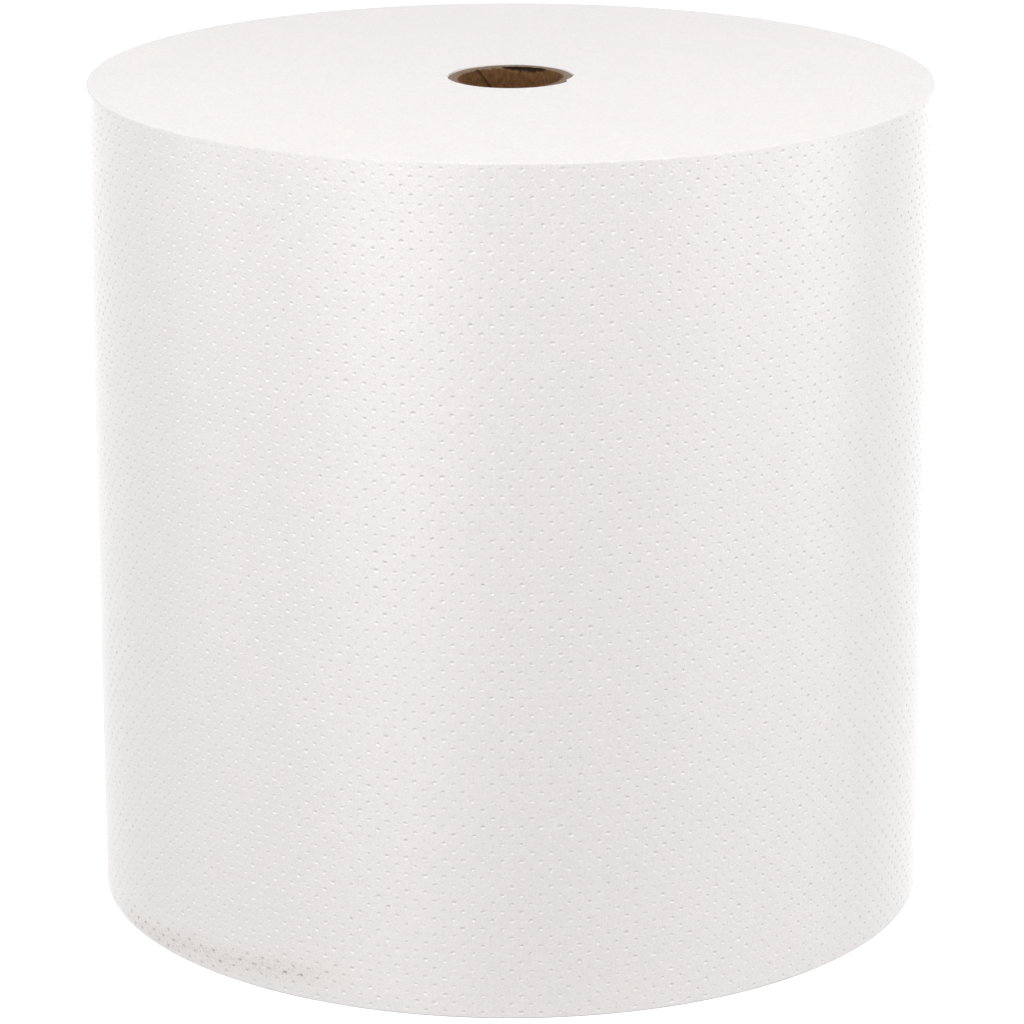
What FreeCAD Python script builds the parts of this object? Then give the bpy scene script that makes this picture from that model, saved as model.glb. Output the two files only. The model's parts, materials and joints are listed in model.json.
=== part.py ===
import FreeCAD, Part
import math
import os

# A hardwound paper towel roll: one long one-ply sheet wound on a spiral-wound paperboard core.
# Millimetres. The roll stands on one end: its axis is +Z, the origin is the centre of the lower end
# face, and -Y is the side that faces the viewer. The sheet's free end, the tail, lies on the far side.

# Driving dimensions of the wound sheet
ROLL_DIAMETER = 203.0       # across the outermost turn
SHEET_WIDTH = 201.0         # width of the sheet, which is the height of the roll
EDGE_BREAK = 0.6            # cut edge, pressed back a little all round both ends
TAIL_STEP = 0.3             # thickness of the last embossed sheet, the step at the tail
TAIL_ANGLE = 104.0          # degrees round from +X to the tail's edge

# Turns that show on both cut ends: a spiral line between bands of tightly wound sheet
TURN_PITCH = 10.5           # from one line to the next
TURN_LINE_WIDTH = 0.9
TURN_LINE_DEPTH = 0.25
FIRST_TURN_GAP = 4.0        # from the core to the innermost line
LAST_TURN_GAP = 3.0         # from the outermost line to the broken edge

# Driving dimensions of the core
CORE_BORE = 25.4            # inside diameter, a one inch tube
CORE_WALL = 2.3
CORE_SETBACK = 0.2          # how far each end of the core lies below the cut face
CORE_EDGE_BREAK = 0.25      # worn inner edge of the board

# Seam between neighbouring edges of the innermost ply, a right-handed helix in the bore
PLY_LEAD = 105.0            # rise of the seam in one turn
PLY_GAP = 0.8               # width of the seam, measured round the bore
PLY_GAP_DEPTH = 0.4         # thickness of the ply
PLY_SEAM_ANGLE = 130.0      # degrees round from +X to the seam, at the core's upper end

# Tear in the outer plies at the core's upper end, into which the first turns have been pressed
TEAR_ANGLE = -18.0          # degrees round from +X to the deepest point of the tear
TEAR_LONG_SIDE = 25.0       # degrees from the deepest point to the pointed flap of board
TEAR_SHORT_SIDE = 10.0      # degrees from the deepest point to the blunt end
TEAR_INSET = 1.1            # how far it reaches into the wall
TEAR_HEIGHT = 3.5           # how far down the tube it runs

# Sizes that follow from these
ROLL_RADIUS = ROLL_DIAMETER / 2
BORE_RADIUS = CORE_BORE / 2
CORE_RADIUS = BORE_RADIUS + CORE_WALL
CORE_TOP = SHEET_WIDTH - CORE_SETBACK
OVERCUT = 1.0               # how far a cutter reaches past the face that it opens

UP = FreeCAD.Vector(0, 0, 1)


def at(x, y, z):
    return FreeCAD.Vector(x, y, z)


def polar(radius, degrees, z):
    angle = math.radians(degrees)
    return at(radius * math.cos(angle), radius * math.sin(angle), z)


def cylinder(radius, low, high):
    return Part.makeCylinder(radius, high - low, at(0, 0, low), UP)


def half_turn(section, centre_y, side):
    """A section of the XZ plane turned through the half circle on one side of the plane X = 0.

    The section is drawn at its radius from the Z axis. The half circle's centre lies at Y = centre_y.
    """
    placed = section.copy()
    placed.translate(at(0, centre_y, 0))
    placed.rotate(at(0, centre_y, 0), UP, -90 if side > 0 else 90)
    return placed.revolve(at(0, centre_y, 0), UP, 180)


def face_of(points):
    return Part.Face(Part.makePolygon(points + points[:1]))


def upright_section(inner, outer, height):
    """Upright rectangle from radius inner to outer, with both outer corners broken."""
    return face_of([
        at(inner, 0, 0),
        at(outer - EDGE_BREAK, 0, 0),
        at(outer, 0, EDGE_BREAK),
        at(outer, 0, height - EDGE_BREAK),
        at(outer - EDGE_BREAK, 0, height),
        at(inner, 0, height),
    ])


def wound_outline():
    """The wound sheet's outside: two half turns whose centres differ by half the tail's step.

    The radius grows anticlockwise, seen from above, and drops by one sheet at the tail's edge on X = 0.
    """
    inside = BORE_RADIUS / 2
    last_half = upright_section(inside, ROLL_RADIUS, SHEET_WIDTH)
    first_half = upright_section(inside, ROLL_RADIUS - TAIL_STEP / 2, SHEET_WIDTH)
    return half_turn(last_half, 0, 1).fuse(half_turn(first_half, -TAIL_STEP / 2, -1))


def turn_line(face_z, outward):
    """Spiral groove in one cut end, a row of half turns that join on the plane X = 0.

    Each half turn is wider than the one before by half the pitch, about alternate centres.
    """
    first = CORE_RADIUS + FIRST_TURN_GAP
    room = ROLL_RADIUS - EDGE_BREAK - LAST_TURN_GAP - first
    halves = []
    for k in range(int(2 * room / TURN_PITCH)):
        radius = first + k * TURN_PITCH / 2
        section = face_of([
            at(radius - TURN_LINE_WIDTH / 2, 0, face_z),
            at(radius, 0, face_z - outward * TURN_LINE_DEPTH),
            at(radius + TURN_LINE_WIDTH / 2, 0, face_z),
            at(radius + TURN_LINE_WIDTH / 2, 0, face_z + outward * OVERCUT),
            at(radius - TURN_LINE_WIDTH / 2, 0, face_z + outward * OVERCUT),
        ])
        if k % 2 == 0:
            halves.append(half_turn(section, 0, 1))
        else:
            halves.append(half_turn(section, -TURN_PITCH / 2, -1))
    return halves


def torn_wedge():
    """What is missing from the core's outer plies: a wedge between a long and a short torn side."""
    low = CORE_TOP - TEAR_HEIGHT
    beyond = CORE_RADIUS + OVERCUT
    outline = [
        polar(CORE_RADIUS, TEAR_ANGLE - TEAR_SHORT_SIDE, low),
        polar(beyond, TEAR_ANGLE - TEAR_SHORT_SIDE, low),
        polar(beyond, TEAR_ANGLE + TEAR_LONG_SIDE, low),
        polar(CORE_RADIUS, TEAR_ANGLE + TEAR_LONG_SIDE, low),
        polar(CORE_RADIUS - TEAR_INSET, TEAR_ANGLE, low),
    ]
    prism = face_of(outline).extrude(at(0, 0, TEAR_HEIGHT))
    return prism.common(cylinder(CORE_RADIUS, low, CORE_TOP))


def ply_seam():
    """Helical cutter for the open seam of the innermost ply, through the whole length of the bore."""
    rise = SHEET_WIDTH + 2 * OVERCUT
    path = Part.makeHelix(PLY_LEAD, rise, BORE_RADIUS)
    section = Part.makePolygon([
        at(BORE_RADIUS - PLY_GAP_DEPTH, -PLY_GAP / 2, 0),
        at(BORE_RADIUS + PLY_GAP_DEPTH, -PLY_GAP / 2, 0),
        at(BORE_RADIUS + PLY_GAP_DEPTH, PLY_GAP / 2, 0),
        at(BORE_RADIUS - PLY_GAP_DEPTH, PLY_GAP / 2, 0),
        at(BORE_RADIUS - PLY_GAP_DEPTH, -PLY_GAP / 2, 0),
    ])
    seam = Part.Wire(path.Edges).makePipeShell([section], True, True)
    turned_below_top = (CORE_TOP + OVERCUT) / PLY_LEAD * 360
    seam.rotate(at(0, 0, 0), UP, PLY_SEAM_ANGLE - turned_below_top)
    seam.translate(at(0, 0, -OVERCUT))
    return seam


def paper_roll():
    """The wound sheet as one solid, open through the middle where the core is."""
    roll = wound_outline().cut(cylinder(CORE_RADIUS, -OVERCUT, SHEET_WIDTH + OVERCUT))
    roll = roll.cut(turn_line(SHEET_WIDTH, 1) + turn_line(0, -1))
    roll.rotate(at(0, 0, 0), UP, TAIL_ANGLE - 90)
    return roll.fuse(torn_wedge()).removeSplitter()


def core_tube():
    """The paperboard core with its helical ply seam and its torn upper end."""
    board = cylinder(CORE_RADIUS, CORE_SETBACK, CORE_TOP)
    board = board.cut(cylinder(BORE_RADIUS, -OVERCUT, SHEET_WIDTH + OVERCUT))
    inner_rims = [edge for edge in board.Edges
                  if isinstance(edge.Curve, Part.Circle) and abs(edge.Curve.Radius - BORE_RADIUS) < 1e-6]
    board = board.makeChamfer(CORE_EDGE_BREAK, inner_rims)
    return board.cut([ply_seam(), torn_wedge()])


def write(name, shape):
    solids = shape.Solids
    shape = solids[0] if len(solids) == 1 else shape
    box = shape.BoundBox
    print("%s: %d solid, valid %s, %.0f mm3, X %.2f..%.2f Y %.2f..%.2f Z %.2f..%.2f" % (
        name, len(solids), shape.isValid(), shape.Volume,
        box.XMin, box.XMax, box.YMin, box.YMax, box.ZMin, box.ZMax))
    shape.exportStep("parts/" + name + ".step")


os.makedirs("parts", exist_ok=True)
write("paper_roll", paper_roll())
write("core_tube", core_tube())
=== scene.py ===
# %% [markdown]
# A hardwound paper towel roll, dressed for its picture.
# The solids come from the drawing office: a wound sheet and the paperboard core inside it. They are the
# right size and stay where they are. What they lack is what the eye and the thumb notice first: the small
# dots embossed in the sheet, the soft cut ends, the fibres of the paper and the torn lip of the core.
# This lesson makes those as surfaces worked out with numpy, gives them finishes, and lights them softly.
# Everything is in metres, with the roll standing on the floor at the origin and its axis along +Z.

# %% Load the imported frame
import json
import math
import bpy
import numpy as np
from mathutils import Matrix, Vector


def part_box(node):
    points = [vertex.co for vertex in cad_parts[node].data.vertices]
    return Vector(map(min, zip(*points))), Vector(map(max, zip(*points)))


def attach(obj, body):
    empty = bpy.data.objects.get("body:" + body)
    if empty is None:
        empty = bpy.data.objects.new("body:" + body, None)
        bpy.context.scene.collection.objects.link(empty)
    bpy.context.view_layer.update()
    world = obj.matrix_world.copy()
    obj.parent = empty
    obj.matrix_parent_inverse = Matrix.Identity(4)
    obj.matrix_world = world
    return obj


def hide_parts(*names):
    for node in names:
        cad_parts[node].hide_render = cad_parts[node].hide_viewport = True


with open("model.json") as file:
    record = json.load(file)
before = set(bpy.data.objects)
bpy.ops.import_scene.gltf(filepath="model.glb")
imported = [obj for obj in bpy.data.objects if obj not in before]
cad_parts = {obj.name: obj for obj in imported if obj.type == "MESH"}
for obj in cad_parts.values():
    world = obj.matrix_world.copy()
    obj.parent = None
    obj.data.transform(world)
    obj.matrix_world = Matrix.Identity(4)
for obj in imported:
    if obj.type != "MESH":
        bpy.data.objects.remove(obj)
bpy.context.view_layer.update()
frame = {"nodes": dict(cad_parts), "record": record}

print("nodes:", sorted(frame["nodes"]))

# %% [markdown]
# The frame tells the sizes that the picture must keep: how wide and how tall the roll is, and how wide the
# bore is. Only small things are set in this lesson, such as the dots, and each has a name and a real size.
# The tail's place and step are those of the solid.

# %% Sizes of the roll
MM = 0.001
roll_low, roll_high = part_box("paper_roll")
core_low, core_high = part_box("core_tube")
HEIGHT = roll_high[2]
ROLL_RADIUS = roll_high[1]
CORE_RADIUS = core_high[0]
BORE_RADIUS = frame["record"]["mounts"][0]["dims"]["r_mm"] * MM
TAIL_STEP = 0.3 * MM
TAIL_ANGLE = math.radians(104)
EDGE_ROUND = 0.32 * MM
print("roll %.1f mm wide and %.1f mm tall, core %.1f mm wide" % (
    2 * ROLL_RADIUS / MM, HEIGHT / MM, 2 * CORE_RADIUS / MM))

# %% [markdown]
# The camera stands a little over a metre away and looks down by sixteen degrees, with a long lens. That
# keeps the sides of the roll nearly upright in the picture, shows the top end as a flat ellipse, and lets the
# eye reach only a few millimetres down the core.

# %% Camera
CAMERA_BACK = 1.0731
CAMERA_HEIGHT = 0.40624
CAMERA_PITCH = math.radians(16.317)
CAMERA_YAW = math.radians(0.0187)
CAMERA_LENS = 159.5
SENSOR_WIDTH = 36
FAR_LIMIT = 50

camera = bpy.data.objects.new("camera", bpy.data.cameras.new("camera"))
bpy.context.scene.collection.objects.link(camera)
camera.location = (0, -CAMERA_BACK, CAMERA_HEIGHT)
camera.rotation_euler = (math.pi / 2 - CAMERA_PITCH, 0, -CAMERA_YAW)
camera.data.lens = CAMERA_LENS
camera.data.sensor_width = SENSOR_WIDTH
camera.data.clip_end = FAR_LIMIT
bpy.context.scene.camera = camera
print("camera %.0f mm lens, %.2f m back" % (CAMERA_LENS, CAMERA_BACK))

# %% [markdown]
# Materials are small trees of nodes. A few helpers keep them readable: one adds a node and sets its sockets,
# one does sums, one adds noise of a real grain size, one maps a value with soft ends, one mixes two colours,
# and one starts a material with its main shader. A key such as i0 means the socket of that number.

# %% Helpers for materials
def add(tree, kind, **values):
    """Adds a node. A value may be a number, a colour or another node's output socket."""
    node = tree.nodes.new("ShaderNode" + kind)
    for key, value in values.items():
        if hasattr(node, key) and key not in node.inputs:
            setattr(node, key, value)
            continue
        numbered = key[0] == "i" and key[1:].isdigit()
        socket = node.inputs[int(key[1:]) if numbered else key]
        if isinstance(value, bpy.types.NodeSocket):
            tree.links.new(value, socket)
        else:
            socket.default_value = value
    return node


def math_node(tree, operation, a, b=0.0):
    """Sum, product or another operation of two values."""
    return add(tree, "Math", operation=operation, i0=a, i1=b).outputs[0]


def grain(tree, coordinate, size, detail=2.0, roughness=0.5):
    """Noise whose grains are about as wide as the given size in metres."""
    noise = add(tree, "TexNoise", Vector=coordinate, Scale=1 / size, Detail=detail, Roughness=roughness)
    return noise.outputs[0]


def ramp(tree, value, low, high, low_to=0.0, high_to=1.0):
    """Maps low..high to low_to..high_to with soft ends."""
    node = add(tree, "MapRange", interpolation_type="SMOOTHSTEP")
    tree.links.new(value, node.inputs[0])
    for index, number in enumerate((low, high, low_to, high_to), 1):
        node.inputs[index].default_value = number
    return node.outputs[0]


def blend(tree, share, a, b):
    """Colour between a and b by share."""
    node = add(tree, "Mix", data_type="RGBA")
    tree.links.new(share, node.inputs[0])
    for index, value in ((6, a), (7, b)):
        if isinstance(value, bpy.types.NodeSocket):
            tree.links.new(value, node.inputs[index])
        else:
            node.inputs[index].default_value = (*value, 1)
    return node.outputs[2]


def start_material(name, roughness, specular):
    """Material with its node tree, its main shader and the place on the object in metres."""
    material = bpy.data.materials.new(name)
    material.use_nodes = True
    shader = material.node_tree.nodes["Principled BSDF"]
    shader.inputs["Roughness"].default_value = roughness
    shader.inputs["Specular IOR Level"].default_value = specular
    place = material.node_tree.nodes.new("ShaderNodeTexCoord").outputs["Object"]
    return material, material.node_tree, shader, place


# %% [markdown]
# White paper shows its relief only by soft changes of grey, so the light has to come from somewhere. Low
# upright strips at the right and the left draw soft vertical bands on the satin side. A key above the front
# and a near lamp high on each side light the top end and the lower lip of every embossed dot, and fade down
# the side. Two more lamps light the far side, and the world gives a little from all round. Each lamp's
# power is worked out from its share of the light that shows a colour as it is written: a lamp at distance d
# that gives that light alone has pi squared times d squared watts. A row below gives a lamp's azimuth and
# elevation in degrees, its distance, width and height in metres, and its share.

# %% Lamps and world
def lamp(name, azimuth, elevation, distance, width, height, share):
    """Area lamp on a sphere round the roll's middle, turned to face it. Azimuth 0 is the camera's side."""
    light = bpy.data.lights.new(name, "AREA")
    light.shape = "RECTANGLE"
    light.size = width
    light.size_y = height
    light.energy = share * math.pi ** 2 * distance ** 2
    a, e = math.radians(azimuth), math.radians(elevation)
    outward = (math.sin(a) * math.cos(e), -math.cos(a) * math.cos(e), math.sin(e))
    piece = bpy.data.objects.new(name, light)
    bpy.context.scene.collection.objects.link(piece)
    piece.location = [distance * part for part in outward]
    piece.location[2] += HEIGHT / 2
    piece.rotation_euler = (math.pi / 2 - e, 0, a)
    piece.visible_camera = False
    print("lamp %s %.1f W" % (name, light.energy))


lamp("right_strip", 88, 10, 1.6, 0.25, 0.6, 0.205)
lamp("right_low", 60, 13, 1.6, 0.4, 0.8, 0.135)
lamp("right_high", 80, 45, 1.0, 0.4, 0.4, 0.15)
lamp("left_strip", -84, 16, 1.6, 0.4, 0.8, 0.085)
lamp("left_band", -40, 13, 1.6, 0.3, 0.8, 0.12)
lamp("left_low", -25, 13, 1.6, 0.3, 0.8, 0.175)
lamp("left_high", -60, 50, 0.9, 0.4, 0.4, 0.13)
lamp("front_key", 0, 56, 1.0, 0.5, 0.4, 0.35)
lamp("back_left", -152, 20, 1.6, 0.8, 0.8, 0.27)
lamp("back_right", 152, 20, 1.6, 0.8, 0.8, 0.27)


def seen_directly(tree):
    """One for a ray from the camera, a mirror or glass, and nought for light that is scattered."""
    path = add(tree, "LightPath")
    seen = math_node(tree, "MAXIMUM", path.outputs["Is Camera Ray"], path.outputs["Is Glossy Ray"])
    return math_node(tree, "MAXIMUM", seen, path.outputs["Is Transmission Ray"])


WORLD_LEVEL = 0.18
world = bpy.data.worlds.new("world")
bpy.context.scene.world = world
world.use_nodes = True
tree = world.node_tree
fill = tree.nodes["Background"]
fill.inputs["Color"].default_value = (1, 1, 1, 1)
fill.inputs["Strength"].default_value = WORLD_LEVEL
backdrop = add(tree, "Background", Color=(1, 1, 1, 1), Strength=1.0)
sky = add(tree, "MixShader", i0=seen_directly(tree), i1=fill.outputs[0], i2=backdrop.outputs[0])
tree.links.new(sky.outputs[0], tree.nodes["World Output"].inputs["Surface"])

bpy.context.scene.view_settings.view_transform = "Standard"

# %% [markdown]
# The sheet is bleached fibre: nearly white and a trace warm. The calender that pressed it left a satin sheen
# that spreads more up and down the side than round it, so the side's shader is anisotropic, while the cut
# ends are rough. Close up the paper is mottled: a fine noise changes its tone by a few parts in a hundred,
# and two sizes of noise drive the bump. By the attribute called hollow the dots are a little rougher, and
# their colour goes greyer with depth, which is painted shade in the recesses. At the lower left the roll has
# picked up a little brown dust from whatever it stood on: a faint haze, fine specks where a noise passes a
# threshold, and dirt in the dots, all inside one low smudge.

# %% Towel paper
PAPER = (0.924, 0.894, 0.878)
PAPER_COOL = (0.902, 0.880, 0.868)
# Painted shade in the dots: their colour goes toward this grey with depth.
DOT_PAINTED_SHADE = (0.825, 0.798, 0.78)
PRESSED_ROUGHNESS = 0.55
PATCH_WIDTH = 14 * MM
FIBRE_HEIGHT = 0.17 * MM
FIBRE_SPECK = 0.42 * MM
SPECK_DARKEST = 0.945
SPECK_LIGHTEST = 1.035
FIBRE_WIDTH = 0.36 * MM
PUCKER_WIDTH = 1.6 * MM
PUCKER_SHARE = 0.8
TURN_WIDTH = 0.45 * MM
SHEEN_STRETCH = 0.9
SHEEN_UPRIGHT = 0.25
DUST_HAZE = (0.66, 0.60, 0.52)
DUST = (0.31, 0.235, 0.17)
DUST_ANGLE = math.radians(-136)
DUST_HALF_SPREAD = math.radians(27)
DUST_HEIGHT = 4.3 * MM
DUST_RISE = 7.5 * MM
DUST_HALF_BAND = 5.6 * MM
DUST_SPECK = 0.24 * MM
HAZE_SHARE = 0.07
DOT_DIRT_SHARE = 0.6
SPECK_SHARE = 0.5
SPECK_THINNING = 0.17


def turned_dot(tree, unit, angle):
    """Cosine of the angle between the unit direction and the given direction round the axis."""
    toward = (math.cos(angle), math.sin(angle), 0)
    return add(tree, "VectorMath", operation="DOT_PRODUCT", i0=unit, i1=toward).outputs["Value"]


def dusty_band(tree, place):
    """One along the middle of a smudge near the foot, fading to nought. Its height rises with the angle."""
    xyz = add(tree, "SeparateXYZ", i0=place)
    flat = add(tree, "CombineXYZ", X=xyz.outputs[0], Y=xyz.outputs[1])
    unit = add(tree, "VectorMath", operation="NORMALIZE", i0=flat.outputs[0]).outputs[0]
    ends, middle = math.cos(DUST_HALF_SPREAD), math.cos(DUST_HALF_SPREAD / 2)
    side = ramp(tree, turned_dot(tree, unit, DUST_ANGLE), ends, middle)
    rise = math_node(tree, "MULTIPLY", turned_dot(tree, unit, DUST_ANGLE + math.pi / 2), DUST_RISE)
    above = math_node(tree, "SUBTRACT", math_node(tree, "SUBTRACT", xyz.outputs[2], DUST_HEIGHT), rise)
    away = math_node(tree, "ABSOLUTE", above)
    return math_node(tree, "MULTIPLY", side, ramp(tree, away, DUST_HALF_BAND, 0.0))


def dusty(tree, place, hollow, tone):
    """Tone with a haze over the smudge, fine specks in it, and dirt gathered in the dots around it."""
    band = dusty_band(tree, place)
    haze = math_node(tree, "MULTIPLY", band, HAZE_SHARE)
    tone = blend(tree, haze, tone, DUST_HAZE)
    in_dots = math_node(tree, "MULTIPLY", math_node(tree, "MULTIPLY", hollow, band), DOT_DIRT_SHARE)
    tone = blend(tree, in_dots, tone, DUST)
    thinner = math_node(tree, "MULTIPLY", math_node(tree, "SUBTRACT", band, 1.0), SPECK_THINNING)
    noise = math_node(tree, "ADD", grain(tree, place, DUST_SPECK, 1.0, 0.5), thinner)
    specks = ramp(tree, noise, 0.53, 0.66)
    share = math_node(tree, "MULTIPLY", specks, ramp(tree, band, 0.0, 0.3, 0.0, SPECK_SHARE))
    return blend(tree, share, tone, DUST)


def towel_paper(name, embossed, turn_bump, roughness, specular, bump_strength):
    """Paper of the side, which is embossed, or of a cut end, whose bump has a share for the turns."""
    material, tree, shader, place = start_material(name, roughness, specular)
    tone = blend(tree, grain(tree, place, PATCH_WIDTH, 3.0), PAPER, PAPER_COOL)
    noise = grain(tree, place, FIBRE_SPECK, 2.0, 0.6)
    specks = ramp(tree, noise, 0.3, 0.7, SPECK_DARKEST, SPECK_LIGHTEST)
    tone = add(tree, "VectorMath", operation="SCALE", i0=tone, Scale=specks).outputs[0]
    if embossed:
        shader.inputs["Anisotropic"].default_value = SHEEN_STRETCH
        shader.inputs["Anisotropic Rotation"].default_value = SHEEN_UPRIGHT
        round_it = add(tree, "VectorMath", operation="CROSS_PRODUCT", i0=(0, 0, 1), i1=place)
        tree.links.new(round_it.outputs[0], shader.inputs["Tangent"])
        hollow = add(tree, "Attribute", attribute_name="hollow").outputs["Fac"]
        # Painted shade: the dots' colour goes greyer with their depth.
        tone = blend(tree, ramp(tree, hollow, 0.2, 1.3), tone, DOT_PAINTED_SHADE)
        rougher = ramp(tree, hollow, 0.0, 0.5, roughness, PRESSED_ROUGHNESS)
        tree.links.new(rougher, shader.inputs["Roughness"])
        tone = dusty(tree, place, hollow, tone)
    tree.links.new(tone, shader.inputs["Base Color"])
    pucker = math_node(tree, "MULTIPLY", grain(tree, place, PUCKER_WIDTH), PUCKER_SHARE)
    fibres = math_node(tree, "ADD", grain(tree, place, FIBRE_WIDTH, 2.0, 0.6), pucker)
    if turn_bump:
        xyz = add(tree, "SeparateXYZ", i0=place)
        flat = add(tree, "CombineXYZ", X=xyz.outputs[0], Y=xyz.outputs[1])
        radius = add(tree, "VectorMath", operation="LENGTH", i0=flat.outputs[0]).outputs["Value"]
        rings = add(tree, "TexNoise", noise_dimensions="1D", W=radius, Scale=1 / TURN_WIDTH, Detail=3.0)
        turns = math_node(tree, "MULTIPLY", rings.outputs[0], turn_bump)
        fibres = math_node(tree, "ADD", fibres, turns)
    bump = add(tree, "Bump", Strength=bump_strength, Distance=FIBRE_HEIGHT, Height=fibres)
    tree.links.new(bump.outputs[0], shader.inputs["Normal"])
    return material


SIDE_PAPER = towel_paper("towel_side", True, turn_bump=0.0, roughness=0.33, specular=0.9, bump_strength=0.5)
END_PAPER = towel_paper(
    "towel_cut_end", False, turn_bump=0.7, roughness=0.72, specular=0.4, bump_strength=0.9)
print("paper finishes made")

# %% [markdown]
# The core is kraft board. Its walls are a warm brown, a little streaky. The cut rim is paler and greyer,
# because it shows the inside of the board. Where a ply is torn away the hollow is painted nearly black, and
# the rim's outer edge against the paper is painted half as dark: both are painted shade. The mesh carries how
# much each point is cut, and how much painted shade it takes, in two attributes, and the finish goes from one
# colour to the other by them.

# %% Core board
BOARD_WALL = (0.215, 0.106, 0.038)
BOARD_WALL_DARK = (0.125, 0.056, 0.02)
# Painted shade: near-black brown for the torn hollow and the rim's outer edge.
BOARD_PAINTED_SHADE = (0.03, 0.014, 0.007)
BOARD_CUT = (0.29, 0.235, 0.175)
BOARD_CUT_DARK = (0.18, 0.135, 0.09)
WALL_GRAIN = 0.9 * MM
CUT_GRAIN = 0.5 * MM
BOARD_RELIEF = 0.12 * MM
STREAK_SQUASH = 0.6


def core_board(name):
    """Board whose colour goes from wall to cut rim, and to a painted near-black shade, by the mesh's two
    attributes.
    """
    material, tree, shader, place = start_material(name, roughness=0.75, specular=0.2)
    squash = add(tree, "Mapping", Vector=place, Scale=(1, 1, STREAK_SQUASH)).outputs[0]
    streaks = ramp(tree, grain(tree, squash, WALL_GRAIN, 4.0, 0.7), 0.3, 0.7)
    wall = blend(tree, streaks, BOARD_WALL_DARK, BOARD_WALL)
    fibres = ramp(tree, grain(tree, place, CUT_GRAIN, 3.0, 0.6), 0.3, 0.6)
    rim = blend(tree, fibres, BOARD_CUT_DARK, BOARD_CUT)
    cut = add(tree, "Attribute", attribute_name="board_cut").outputs["Fac"]
    torn = add(tree, "Attribute", attribute_name="board_painted_shade").outputs["Fac"]
    # The second attribute paints shade: the torn hollow and the rim's outer edge go toward near black.
    tone = blend(tree, torn, blend(tree, cut, wall, rim), BOARD_PAINTED_SHADE)
    tree.links.new(tone, shader.inputs["Base Color"])
    relief = grain(tree, squash, CUT_GRAIN, 4.0, 0.65)
    bump = add(tree, "Bump", Strength=0.5, Distance=BOARD_RELIEF, Height=relief)
    tree.links.new(bump.outputs[0], shader.inputs["Normal"])
    return material


CORE_BOARD = core_board("core_board")
print("board finish made")

# %% [markdown]
# Every surface here is a grid of points or a pattern of small faces, so one function puts arrays into a mesh
# and says what the piece replaces. Normals may be given as well. The side is made in three stretches, because
# one mesh would be too heavy, and normals worked out for the whole side keep the joins invisible.

# %% Helper for meshes
def piece_from(name, points, faces, material, node, normals=None, attributes=None):
    """Makes a mesh object from arrays of points and of faces that all have the same number of corners."""
    corners = faces.shape[1]
    mesh = bpy.data.meshes.new(name)
    mesh.vertices.add(len(points))
    mesh.vertices.foreach_set("co", points.astype(np.float32).ravel())
    mesh.loops.add(faces.size)
    mesh.loops.foreach_set("vertex_index", faces.astype(np.int32).ravel())
    mesh.polygons.add(len(faces))
    mesh.polygons.foreach_set("loop_start", np.arange(0, faces.size, corners, dtype=np.int32))
    mesh.update(calc_edges=True)
    mesh.polygons.foreach_set("use_smooth", np.ones(len(faces), bool))
    for key, values in (attributes or {}).items():
        mesh.attributes.new(key, "FLOAT", "POINT").data.foreach_set("value", values.astype(np.float32))
    if normals is not None:
        mesh.normals_split_custom_set_from_vertices(normals.astype(np.float32))
    mesh.materials.append(material)
    piece = bpy.data.objects.new(name, mesh)
    bpy.context.scene.collection.objects.link(piece)
    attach(piece, "root")
    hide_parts(node)
    print("%s: %d points, %d triangles" % (name, len(points), len(faces) * (corners - 2)))


def grid_faces(rows, columns, closed_rows=False):
    """Quads between neighbouring rows and columns of a grid whose points are stored row by row."""
    rows_used = rows if closed_rows else rows - 1
    r, c = np.meshgrid(np.arange(rows_used), np.arange(columns - 1), indexing="ij")
    a = r * columns + c
    b = (r + 1) % rows * columns + c
    return np.stack([a, a + 1, b + 1, b], -1).reshape(-1, 4)


# %% [markdown]
# The wound sheet isn't quite round. Its radius is full at the tail's edge and one sheet less just past it,
# and it grows back on the next half turn, as in the solid. On top of that come waves of a few hundredths of a
# millimetre, because paper never winds perfectly evenly. The angle phi is counted from the tail.

# %% The sheet's outline
WAVE_HEIGHT = 0.03 * MM
WAVE_SUM = 2.4
WAVE_DROP = 1.4


def outline_radius(phi):
    """Full radius on the last half turn, and a half cosine up from one sheet less on the first."""
    first_half = ROLL_RADIUS - TAIL_STEP / 2 * (1 + np.cos(phi))
    return np.where(phi < np.pi, first_half, ROLL_RADIUS)


def unevenness(phi, z):
    """Sum of three slow waves round and up the side, sunk so that their crests barely pass the outline."""
    waves = (
        np.sin(5 * phi + 9 * z / HEIGHT)
        + 0.8 * np.sin(11 * phi - 5 * z / HEIGHT + 1.3)
        + 0.6 * np.sin(23 * phi + 17 * z / HEIGHT + 4.1))
    return WAVE_HEIGHT * (waves - WAVE_DROP) / WAVE_SUM


def on_side(phi, z, inward):
    """Point of the side at an angle from the tail and a height, pushed in by the given depth."""
    radius = outline_radius(phi) + unevenness(phi, z) - inward
    angle = TAIL_ANGLE + phi
    return np.stack([radius * np.cos(angle), radius * np.sin(angle), z], -1)


print("outline %.2f mm from the axis at the tail's edge and %.2f mm just past it" % (
    outline_radius(2 * math.pi) / MM, outline_radius(0) / MM))

# %% [markdown]
# The embossing is a staggered lattice of small dots, a little wider than high, 143 round the roll and 97 rows
# up it. Each dot sits in its own brick-shaped cell. The cell's six boundary points are shared with its
# neighbours, eight more make the dot's rim, eight make its slope and one is its bottom. The rim lies on the
# sheet, and the depth falls as the square of one minus the square of the distance from the middle, which is
# flat at the rim and at the bottom. Dots differ a little in size, place and depth, and a few hardly took.

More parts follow.
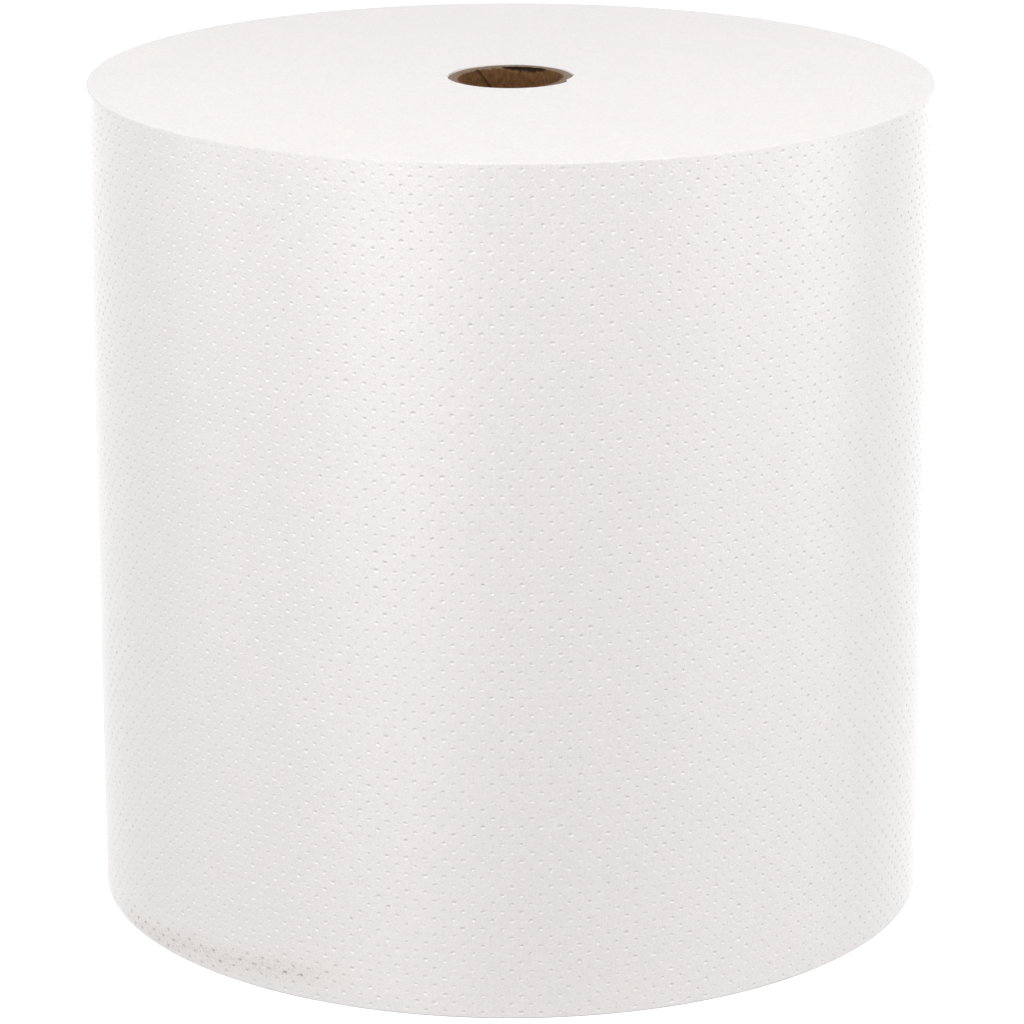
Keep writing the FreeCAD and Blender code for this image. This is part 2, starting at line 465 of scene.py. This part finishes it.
# %% Embossed dots
DOTS_ROUND = 143
DOT_ROWS = 97
ROW_SPACING = 2.065 * MM
FIRST_ROW = 1.38 * MM
DOT_HALF_WIDTH = 0.76 * MM
DOT_HALF_HEIGHT = 0.54 * MM
DOT_DEPTH = 0.25 * MM
SIZE_SPREAD = 0.09
SIZE_LIMITS = (0.7, 1.3)
DEPTH_SPREAD = 0.22
DEPTH_LIMITS = (0.3, 1.35)
WANDER_ROUND = 0.09 * MM
WANDER_UP = 0.06 * MM
SLOPE_SHARE = 0.55
RIM_POINTS = 8
CELL_CORNERS = 6
COLUMNS = 2 * DOTS_ROUND + 1
HALF_PITCH = 2 * math.pi / (COLUMNS - 1)
PROBE = 0.0005


def cell_pattern():
    """Triangles of one cell, anticlockwise from outside: corners 0..5, rim 6..13, slope 14..21, bottom 22."""
    rim = CELL_CORNERS
    slope = rim + RIM_POINTS
    bottom = slope + RIM_POINTS
    nearest = [0, 0, 1, 2, 2, 3, 4, 5]
    faces = []
    for k in range(RIM_POINTS):
        n = (k + 1) % RIM_POINTS
        if nearest[k] != nearest[n]:
            faces.append((rim + k, nearest[k], nearest[n]))
        faces.append((rim + k, nearest[n], rim + n))
        faces.append((slope + k, rim + k, rim + n))
        faces.append((slope + k, rim + n, slope + n))
        faces.append((bottom, slope + k, slope + n))
    return np.array(faces)


def embossed_side():
    """Points, normals, share of depth and triangles of the whole side, and each triangle's cell column."""
    seeded = np.random.default_rng(7)
    line, column = np.meshgrid(np.arange(DOT_ROWS + 1), np.arange(COLUMNS), indexing="ij")
    edge_phi = column * HALF_PITCH
    edge_z = FIRST_ROW + (line - 0.5) * ROW_SPACING
    row, dot = np.meshgrid(np.arange(DOT_ROWS), np.arange(DOTS_ROUND), indexing="ij")
    kept = (row % 2 == 0) | (dot < DOTS_ROUND - 1)
    row, dot = row[kept], dot[kept]
    first_column = 2 * dot + row % 2
    count = len(row)
    low, high = row * COLUMNS + first_column, (row + 1) * COLUMNS + first_column
    corners = np.stack([high + 2, high + 1, high, low, low + 1, low + 2], -1)
    size = np.clip(1 + SIZE_SPREAD * seeded.standard_normal(count), *SIZE_LIMITS)[:, None]
    depth = DOT_DEPTH * np.clip(1 + DEPTH_SPREAD * seeded.standard_normal(count), *DEPTH_LIMITS)
    centre_phi = (first_column + 1) * HALF_PITCH + WANDER_ROUND / ROLL_RADIUS * seeded.standard_normal(count)
    centre_z = FIRST_ROW + row * ROW_SPACING + WANDER_UP * seeded.standard_normal(count)
    turn = np.arange(RIM_POINTS) * 2 * math.pi / RIM_POINTS
    across = DOT_HALF_WIDTH * size * np.cos(turn)
    up = DOT_HALF_HEIGHT * size * np.sin(turn)

    def ring(share):
        """Ring at a share s of a dot of depth d: it is d(1 - s*s)**2 deep and slopes by 4ds(1 - s*s)."""
        phi = centre_phi[:, None] + share * across / ROLL_RADIUS
        z = centre_z[:, None] + share * up
        inward = depth[:, None] * (1 - share ** 2) ** 2 * np.ones(RIM_POINTS)
        fall = depth[:, None] * 4 * share * (1 - share ** 2)
        fall_round = fall * np.cos(turn) / DOT_HALF_WIDTH
        fall_up = fall * np.sin(turn) / DOT_HALF_HEIGHT
        return phi, z, inward, fall_round, fall_up

    rim, slope = ring(1.0), ring(SLOPE_SHARE)
    none = np.zeros((count, 1))
    bottom = (centre_phi[:, None], centre_z[:, None], depth[:, None], none, none)
    inner = [np.concatenate(parts, 1).ravel() for parts in zip(rim, slope, bottom)]
    flat = np.zeros(edge_phi.size)
    phi = np.concatenate([edge_phi.ravel(), inner[0]])
    z = np.concatenate([edge_z.ravel(), inner[1]])
    inward, lean_round, lean_up = [np.concatenate([flat, part]) for part in inner[2:]]
    hollow = inward / DOT_DEPTH
    points = on_side(phi, z, inward)
    normals = side_normals(phi, z, lean_round, lean_up)
    per_dot = 2 * RIM_POINTS + 1
    own = edge_phi.size + np.arange(count)[:, None] * per_dot + np.arange(per_dot)
    cell = np.concatenate([corners, own], 1)
    pattern = cell_pattern()
    faces = cell[:, pattern].reshape(-1, 3)
    where = np.repeat(first_column, len(pattern))
    odd = np.arange(1, DOT_ROWS, 2) * COLUMNS
    ends = np.concatenate([odd, odd + COLUMNS - 2])
    halves = np.concatenate([
        np.stack([ends, ends + 1, ends + COLUMNS + 1], -1),
        np.stack([ends, ends + COLUMNS + 1, ends + COLUMNS], -1)])
    faces = np.concatenate([faces, halves])
    where = np.concatenate([where, halves[:, 0] % COLUMNS])
    return points, normals, hollow, faces, where


def side_normals(phi, z, lean_round, lean_up):
    """Normals of the wavy side, from points a small step round and up, tipped toward a dot's middle."""
    here = on_side(phi, z, 0)
    round_it = on_side(phi + PROBE, z, 0) - here
    round_it /= np.linalg.norm(round_it, axis=1)[:, None]
    upward = on_side(phi, z + PROBE, 0) - here
    upward /= np.linalg.norm(upward, axis=1)[:, None]
    normal = np.cross(round_it, upward) - lean_round[:, None] * round_it - lean_up[:, None] * upward
    return normal / np.linalg.norm(normal, axis=1)[:, None]


STRETCHES = 3
side_points, side_normal, side_hollow, side_faces, side_column = embossed_side()
side_stretch = (side_column * STRETCHES) // COLUMNS
for k in range(STRETCHES):
    used, local = np.unique(side_faces[side_stretch == k], return_inverse=True)
    piece_from("outer_turn_%d" % (k + 1), side_points[used], local.reshape(-1, 3), SIDE_PAPER,
               "paper_roll", side_normal[used], {"hollow": side_hollow[used]})

# %% [markdown]
# The cut ends and the hidden wall round the core are one more surface: a profile carried round the axis. It
# starts at the foot of the side, rounds the lower cut edge, crosses the lower end to the core, climbs the
# core, crosses the upper end and rounds the upper edge. Across the ends the turns of the sheet show as very
# shallow bands that follow the winding. The place across the bands is the radius in bands less the share of a
# turn, so a band that is followed round once has moved out by its own width. The height wanders along the
# winding, and across a band it goes evenly to that of the next turn, so there is no step between two turns.
# The first turns are pressed into the tear of the core.

# %% Cut ends
BAND = 2.6 * MM
BAND_HEIGHT = 0.02 * MM
BAND_KNOTS = 80
KNOTS_A_TURN = 2
FADE = 8
FACE_RINGS = 96
ARC_RINGS = 4
TEAR_ANGLE = math.radians(-18)
TEAR_LONG_SIDE = math.radians(25)
TEAR_SHORT_SIDE = math.radians(10)
TEAR_INSET = 1.1 * MM
TEAR_FOOT = 4 * MM
TEAR_EDGE = 3.4 * MM
FLAP_REACH = 0.45 * MM
FLAP_HALF_ANGLE = math.radians(4)
GAP = 0.16 * MM
WALL_BEND = 0.1 * MM


def core_outline(angle):
    """Radius of the core's upper end: round, with a tear that ends in a pointed flap of board."""
    turn = (angle - TEAR_ANGLE + math.pi) % (2 * math.pi) - math.pi
    long_side = np.clip(1 - turn / TEAR_LONG_SIDE, 0, 1) * (turn >= 0)
    short_side = np.clip(1 + turn / TEAR_SHORT_SIDE, 0, 1) * (turn < 0)
    flap = np.clip(1 - np.abs(turn - TEAR_LONG_SIDE) / FLAP_HALF_ANGLE, 0, 1)
    return CORE_RADIUS - TEAR_INSET * (long_side + short_side) + FLAP_REACH * flap


def band_relief(phi, radius):
    """Height that wanders along the winding and goes evenly across a band to that of the next turn."""
    seeded = np.random.default_rng(11)
    knots = seeded.standard_normal(BAND_KNOTS)
    across = (radius - CORE_RADIUS) / BAND - phi / (2 * math.pi)
    turn = np.floor(across)
    along = turn + 1 + phi / (2 * math.pi)
    here = np.interp(along * KNOTS_A_TURN, np.arange(BAND_KNOTS), knots)
    next_turn = np.interp((along + 1) * KNOTS_A_TURN, np.arange(BAND_KNOTS), knots)
    return BAND_HEIGHT * (here + (across - turn) * (next_turn - here))


def fade(share):
    """One across an end, falling to nought over the first and the last eighth of the way."""
    return min(1, FADE * (1 - share), FADE * share)


def cut_ends():
    """Profile rows by columns of angle. Each row is a ring, from the foot of the side round to its head."""
    phi = np.arange(COLUMNS) * HALF_PITCH
    angle = TAIL_ANGLE + phi
    foot = FIRST_ROW - 0.5 * ROW_SPACING
    head = FIRST_ROW + (DOT_ROWS - 0.5) * ROW_SPACING
    bend = np.linspace(0, math.pi / 2, ARC_RINGS + 1)
    rows = []

    def ring(radius, z):
        """Adds one row of points at the given radius and height."""
        rows.append(np.stack([radius * np.cos(angle), radius * np.sin(angle), z * np.ones(COLUMNS)], -1))

    outer_foot = outline_radius(phi) + unevenness(phi, foot)
    outer_head = outline_radius(phi) + unevenness(phi, head)
    for turn in bend:
        ring(outer_foot - EDGE_ROUND * (1 - np.cos(turn)), foot * (1 - np.sin(turn)))
    face = np.linspace(1, 0, FACE_RINGS)[1:-1]
    inner = CORE_RADIUS + GAP
    for share in face:
        radius = inner + share * (outer_foot - EDGE_ROUND - inner)
        ring(radius, np.maximum(band_relief(phi, radius), 0) * fade(share))
    for turn in bend:
        ring(CORE_RADIUS + WALL_BEND * (1 - np.sin(turn)), WALL_BEND * (1 - np.cos(turn)))
    ring(CORE_RADIUS, HEIGHT - TEAR_FOOT)
    torn = core_outline(angle) + GAP
    ring(torn, HEIGHT - TEAR_EDGE)
    for turn in bend[::-1]:
        ring(torn + WALL_BEND * (1 - np.sin(turn)), HEIGHT - WALL_BEND * (1 - np.cos(turn)))
    for share in face[::-1]:
        radius = torn + WALL_BEND + share * (outer_head - EDGE_ROUND - torn - WALL_BEND)
        relief = band_relief(phi, radius) - BAND_HEIGHT
        ring(radius, HEIGHT + np.minimum(relief, 0) * fade(share))
    for turn in bend[::-1]:
        ring(outer_head - EDGE_ROUND * (1 - np.cos(turn)), head + (HEIGHT - head) * np.sin(turn))
    points = np.concatenate(rows)
    return points, grid_faces(len(rows), COLUMNS)[:, ::-1]


end_points, end_faces = cut_ends()
piece_from("cut_ends", end_points, end_faces, END_PAPER, "paper_roll")

# %% [markdown]
# The tail is the free end of the sheet, cut straight across and lightly stuck down on the far side. Only its
# thickness shows: a narrow strip from the outer surface down to the turn below, with both of its corners
# rounded, and a little uneven along its length as cut paper is.

# %% Tail edge
TAIL_ROWS = 400
TAIL_PROFILE = 6
TAIL_REACH = 0.35 * MM
TAIL_WANDER = 0.12 * MM
TAIL_TUCK = 0.05 * MM


def tail_edge():
    """Grid of heights by a quarter turn of profile, from the outer surface down to the turn below."""
    z = np.linspace(EDGE_ROUND, HEIGHT - EDGE_ROUND, TAIL_ROWS)[:, None]
    turn = np.linspace(0, math.pi / 2, TAIL_PROFILE)[None]
    reach = TAIL_REACH + TAIL_WANDER * (np.sin(61 * z / HEIGHT) + 0.7 * np.sin(157 * z / HEIGHT + 2))
    top = ROLL_RADIUS + unevenness(2 * math.pi * np.ones_like(z), z)
    radius = top - (TAIL_STEP + TAIL_TUCK) * (1 - np.cos(turn))
    angle = TAIL_ANGLE + reach * np.sin(turn) / ROLL_RADIUS
    points = np.stack([radius * np.cos(angle), radius * np.sin(angle), z + 0 * turn], -1)
    return points.reshape(-1, 3), grid_faces(TAIL_ROWS, TAIL_PROFILE)


tail_points, tail_faces = tail_edge()
piece_from("tail_edge", tail_points, tail_faces, SIDE_PAPER, "paper_roll")

# %% [markdown]
# The core is wound from strips of kraft board on a slant, so the edges of its innermost strip meet in a dark
# seam that climbs the bore as a helix. The mesh's columns climb at the same slant: then the seam is simply a
# groove across the columns. The upper end has been knocked about. Its cut is a little out of square, lowest
# at the front left. Plies stand at slightly different heights, the inner lip is ragged and pushed up behind
# the tear, and on the far side a piece of the inner ply is torn away.

# %% Core tube
PLY_LEAD = 105 * MM
SEAM_ANGLE = math.radians(130)
SEAM_HALF_WIDTH = 0.4 * MM
SEAM_DEPTH = 0.4 * MM
SEAM_EDGE_LIFT = 0.06 * MM
SEAM_COLUMNS = 25
ROUND_COLUMNS = 300
CORE_TOP = core_high[2]
CORE_FOOT = core_low[2]
OUT_OF_SQUARE = 0.6 * MM
LOWEST_AT = math.radians(-120)
FAR_LIFT = 0.12 * MM
BEVEL_AT = math.radians(-14)
BEVEL_SPREAD = math.radians(24)
BEVEL_LIFT = 0.42 * MM
FOOT_EDGE = 0.1 * MM
TEAR_START = 3.6 * MM
TEAR_FULL = 3.3 * MM
RIM_EDGE = 0.12 * MM
RIM_RINGS = 14
RIM_SINK = 0.05 * MM
RIM_INSET = 0.08 * MM
RIM_OVERLAP = 0.04 * MM
PLIES = 5.5
PLY_HEIGHT = 0.07 * MM
FIBRE_LIFT = 0.1 * MM
WALL_RINGS = 110
WALL_START = 0.15 * MM
LIP = 0.24 * MM
LIP_FALL = 0.5 * MM
LIP_CUT = 0.42 * MM
LIP_CUT_AT = math.radians(105)
LIP_CUT_SOFT = 0.2 * MM
PATCH_AT = math.radians(74)
PATCH_HALF_ANGLE = math.radians(26)
PATCH_HEIGHT = 1.6 * MM
PATCH_SOFT = 0.15 * MM
PATCH_DEPTH = 0.45 * MM


def ragged(angle, seed, waves):
    """Periodic random wave round the core between -1 and 1, a sum of sines with seeded phases."""
    seeded = np.random.default_rng(seed)
    total = 0
    for wave in waves:
        total = total + seeded.uniform(0.5, 1) * np.sin(wave * angle + seeded.uniform(0, 2 * math.pi))
    return total / (0.75 * len(waves))


def core_tube():
    """Closed profile rows by columns that climb with the seam, how much each point is cut, and its painted
    shade.
    """
    near_seam = SEAM_ANGLE + np.linspace(-1, 1, SEAM_COLUMNS) * 3 * SEAM_HALF_WIDTH / BORE_RADIUS
    around = np.linspace(SEAM_ANGLE - math.pi, SEAM_ANGLE + math.pi, ROUND_COLUMNS)
    far = np.abs(around - SEAM_ANGLE) > 3.2 * SEAM_HALF_WIDTH / BORE_RADIUS
    start = np.sort(np.concatenate([near_seam, around[far]]))
    across = (start - SEAM_ANGLE) * BORE_RADIUS
    from_seam = np.abs(across) / SEAM_HALF_WIDTH
    groove = SEAM_DEPTH * np.clip((1.3 - from_seam) / 0.3, 0, 1)
    edge_lift = SEAM_EDGE_LIFT * np.exp(-((from_seam - 1.6) / 0.5) ** 2)
    height = CORE_TOP + FAR_LIFT - OUT_OF_SQUARE * (1 + np.cos(start - LOWEST_AT)) / 2
    coarse = ragged(start, 3, (3, 5, 7, 11))
    fine = ragged(start, 5, (23, 31, 47, 61, 83))
    rows, cut, shade_rows = [], [], []

    def ring(radius, z, cut_share, shade_share=0):
        """Adds one row of points, turned back with the seam's helix by how far it lies below the top."""
        angle = start + (z - CORE_TOP) / PLY_LEAD * 2 * math.pi
        rows.append(np.stack([radius * np.cos(angle), radius * np.sin(angle), z * np.ones(len(start))], -1))
        cut.append(cut_share * np.ones(len(start)))
        shade_rows.append(shade_share * np.ones(len(start)))

    outside = core_outline(start)
    ring(CORE_RADIUS, CORE_FOOT + FOOT_EDGE, 0)
    ring(CORE_RADIUS, CORE_TOP - TEAR_START, 0)
    ring(outside, CORE_TOP - TEAR_FULL, 0)
    ring(outside, height - RIM_EDGE, 0.2)
    inside = BORE_RADIUS + LIP * (0.5 * coarse + 0.5 * fine)
    turn = (start - BEVEL_AT + math.pi) % (2 * math.pi) - math.pi
    bevel = BEVEL_LIFT * np.exp(-(turn / BEVEL_SPREAD) ** 2)
    for share in np.linspace(0, 1, RIM_RINGS):
        ply = PLY_HEIGHT * np.sin(share * PLIES * 2 * math.pi + coarse) + FIBRE_LIFT * fine * share
        radius = outside - RIM_INSET + share * (inside - outside + RIM_INSET + RIM_OVERLAP)
        whole = 0.55 + 0.45 * math.sin(math.pi * min(1, 1.6 * share + 0.1)) ** 2
        # The rim's outermost rings take up to half the painted shade: a painted dark line where core meets
        # paper.
        ring(radius, height + ply - RIM_SINK + bevel * share, whole, max(0, 0.5 - 5 * share))
    patch = np.clip(1 - np.abs(start - PATCH_AT) / PATCH_HALF_ANGLE, 0, 1) ** 0.5
    patch_height = PATCH_HEIGHT * patch * (1 + 0.35 * fine + 0.2 * coarse)
    far_side = np.clip(np.cos(start - LIP_CUT_AT), 0, 1)
    cut_height = LIP_CUT * (0.15 + 0.85 * far_side) * (1 + 0.9 * fine)
    top = height + bevel
    for share in np.linspace(0, 1, WALL_RINGS) ** 1.6:
        below = WALL_START + share * (top - WALL_START - CORE_FOOT - FOOT_EDGE)
        torn = np.clip((patch_height - below) / PATCH_SOFT, 0, 1)
        lip = np.clip((cut_height - below) / LIP_CUT_SOFT, 0, 1)
        lip_shape = (inside - BORE_RADIUS) * np.exp(-below / LIP_FALL)
        radius = BORE_RADIUS + lip_shape + groove - edge_lift + PATCH_DEPTH * torn
        # The torn patch is sunk into the wall and also takes the full painted shade, nearly black.
        ring(radius, top - below, lip * (1 - torn), torn)
    ring(BORE_RADIUS + FOOT_EDGE, CORE_FOOT, 0.8)
    ring(CORE_RADIUS - FOOT_EDGE, CORE_FOOT, 0.8)
    points = np.concatenate(rows)
    faces = grid_faces(len(rows), len(start), closed_rows=True)
    return points, faces, np.concatenate(cut), np.concatenate(shade_rows)


core_points, core_faces, core_cut, core_painted_shade = core_tube()
piece_from("core_tube_dressed", core_points, core_faces, CORE_BOARD, "core_tube",
           attributes={"board_cut": core_cut, "board_painted_shade": core_painted_shade})

# %% [markdown]
# The floor is plain and pale. Seen directly it is pale card lifted toward the white of the backdrop, so that
# the two read as one except where the roll's shadow is deep. The light that it scatters is that of a greyer
# card, because too much light from below would wash out the dots. It is a round disc that ends inside the
# lamps' reach, so no edge of light shows on it.

# %% Floor
FLOOR_RADIUS = 1.6
FLOOR_CORNERS = 96
FLOOR_LIFT = 0.72
FLOOR_SEEN = (0.85, 0.85, 0.85)
FLOOR_SCATTER = (0.42, 0.42, 0.42)
round_floor = np.arange(FLOOR_CORNERS) * 2 * math.pi / FLOOR_CORNERS
floor_points = FLOOR_RADIUS * np.stack([np.cos(round_floor), np.sin(round_floor), 0 * round_floor], -1)
floor_mesh = bpy.data.meshes.new("floor")
floor_mesh.from_pydata(floor_points.tolist(), [], [tuple(range(FLOOR_CORNERS))])
floor = bpy.data.objects.new("floor", floor_mesh)
bpy.context.scene.collection.objects.link(floor)
floor_material, tree, shader, place = start_material("floor_card", 1.0, 0.0)
seen = seen_directly(tree)
tree.links.new(blend(tree, seen, FLOOR_SCATTER, FLOOR_SEEN), shader.inputs["Base Color"])
tree.links.new(math_node(tree, "MULTIPLY", seen, FLOOR_LIFT), shader.inputs["Emission Strength"])
shader.inputs["Emission Color"].default_value = (1, 1, 1, 1)
floor_mesh.materials.append(floor_material)
print("floor disc %.1f m across" % (2 * FLOOR_RADIUS))
